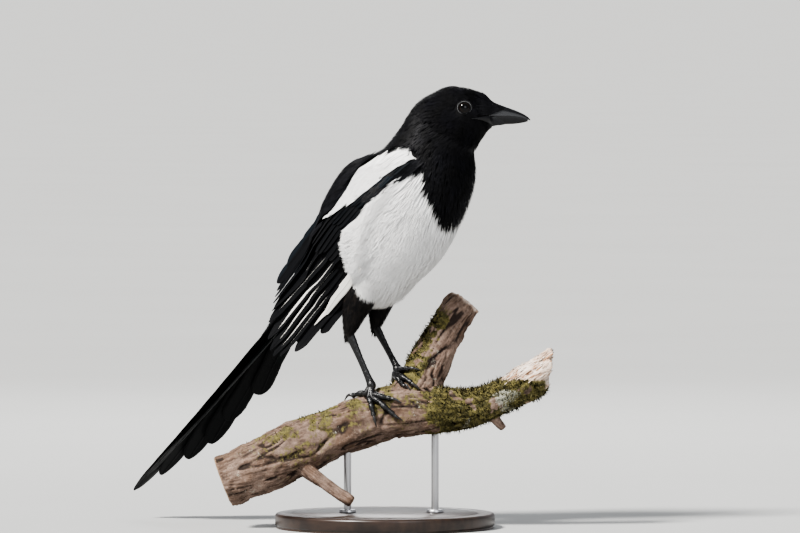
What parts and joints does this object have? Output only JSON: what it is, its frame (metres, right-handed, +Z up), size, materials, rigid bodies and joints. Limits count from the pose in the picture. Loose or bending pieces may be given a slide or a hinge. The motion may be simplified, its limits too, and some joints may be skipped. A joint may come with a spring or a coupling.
{
  "type": "magpie",
  "caption": "Life-size standing magpie: round body, black head and bib, white flanks, long stepped tail, gripping a cut branch on a round stand.",
  "frame": {"origin": "centre of the stand base's underside, on the floor", "axes": "+X the way the bird's body faces, +Y to the bird's left, +Z up"},
  "size_m": [0.363, 0.176, 0.3541],
  "materials": {
    "white_feather": "soft white body feathers, with a black bib and back",
    "black_feather": "glossy black feathers with a blue and green sheen, and white shoulders",
    "bill": "hard black horn, satin",
    "eye": "wet dark brown, polished",
    "leg_scales": "black scaled skin, satin",
    "claw": "black horn",
    "bark": "cracked brown bark with moss and lichen",
    "stand_lacquer": "dark satin lacquer on wood",
    "stand_steel": "plain steel rod"
  },
  "bodies": {
    "root": {"torso": "white_feather", "neck": "black_feather", "head": "black_feather", "bill_upper": "bill", "bill_lower": "bill", "eye_right": "eye", "eye_left": "eye", "wing_right": "black_feather", "wing_left": "black_feather", "tail": "black_feather", "thigh_right": "black_feather", "thigh_left": "black_feather", "tarsus_right": "leg_scales", "tarsus_left": "leg_scales", "foot_right": "leg_scales", "foot_left": "leg_scales", "claw_right_inner": "claw", "claw_right_middle": "claw", "claw_right_outer": "claw", "claw_right_hind": "claw", "claw_left_inner": "claw", "claw_left_middle": "claw", "claw_left_outer": "claw", "claw_left_hind": "claw", "perch_branch": "bark", "stand_base": "stand_lacquer", "stand_rod_1": "stand_steel", "stand_rod_2": "stand_steel"}
  },
  "joints": []
}
